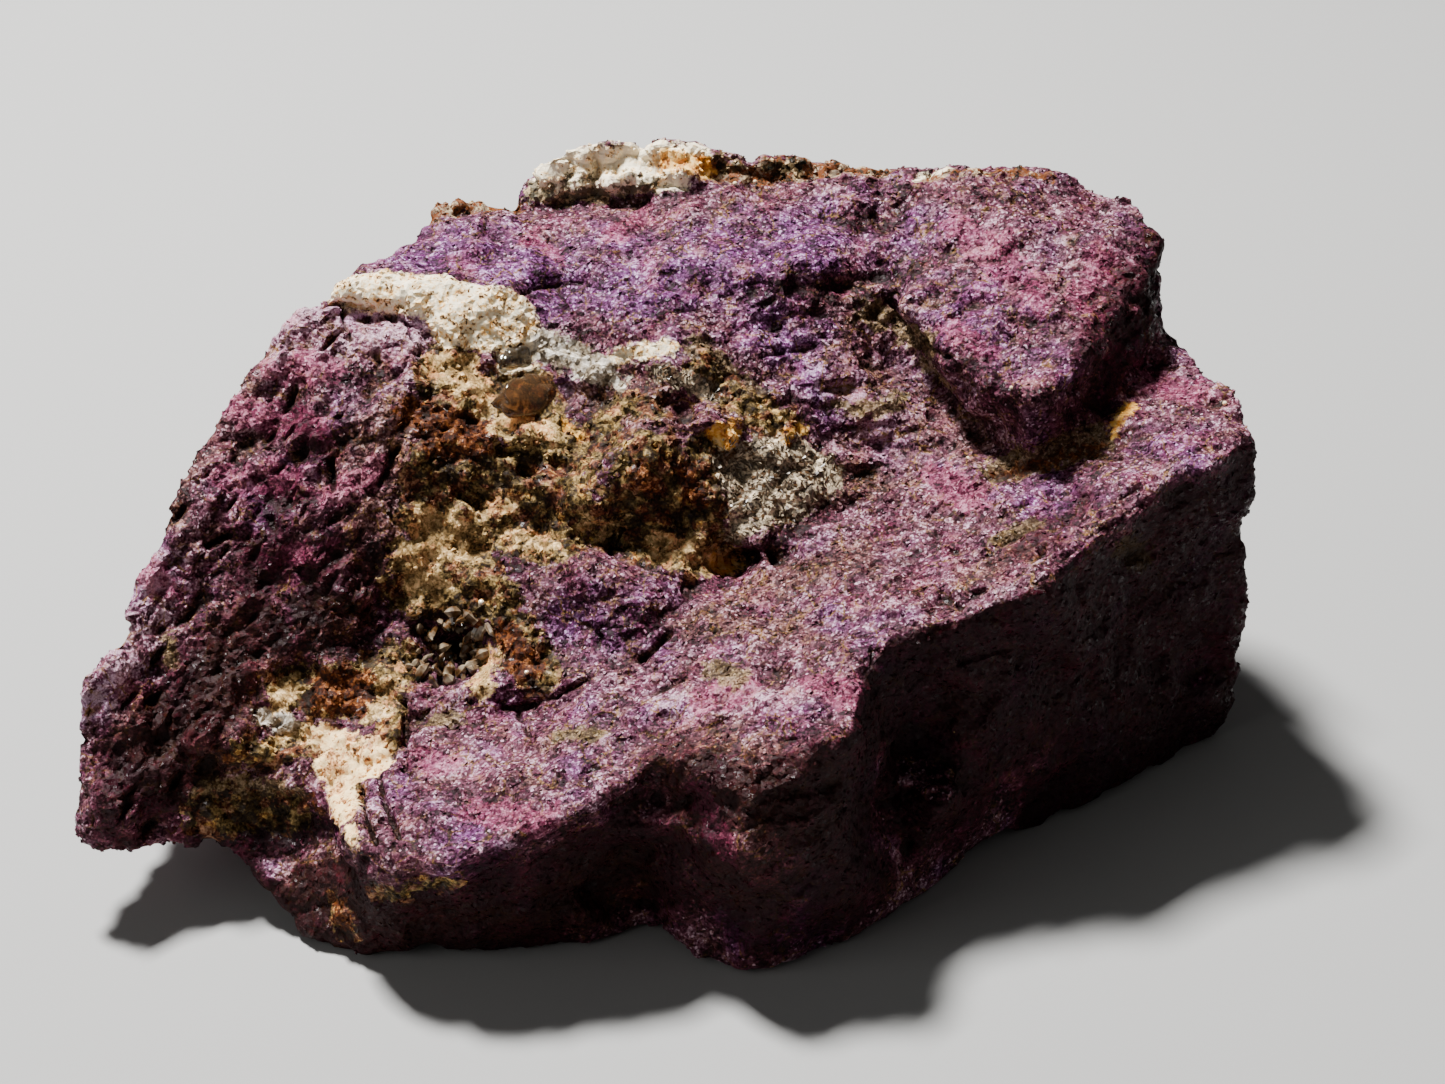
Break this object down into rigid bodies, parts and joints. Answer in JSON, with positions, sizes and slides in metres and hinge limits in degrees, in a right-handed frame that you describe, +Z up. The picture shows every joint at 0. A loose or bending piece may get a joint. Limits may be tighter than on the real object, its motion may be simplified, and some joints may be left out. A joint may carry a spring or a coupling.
{
  "type": "purpurite specimen",
  "caption": "Broken lump of purple rock with a ridge, a shelf, a vuggy trough of tan matrix and an overhanging side, ground flat underneath.",
  "frame": {"origin": "middle of the stone's box in plan, on the level that it rests on", "axes": "+Z up as it rests, +X along its length, the show face with the shelf and the trough turned to -Y"},
  "size_m": [0.0642, 0.0422, 0.0296],
  "materials": {
    "purpurite": "matte"
  },
  "bodies": {
    "root": {"purpurite_stone": "purpurite"}
  },
  "joints": []
}
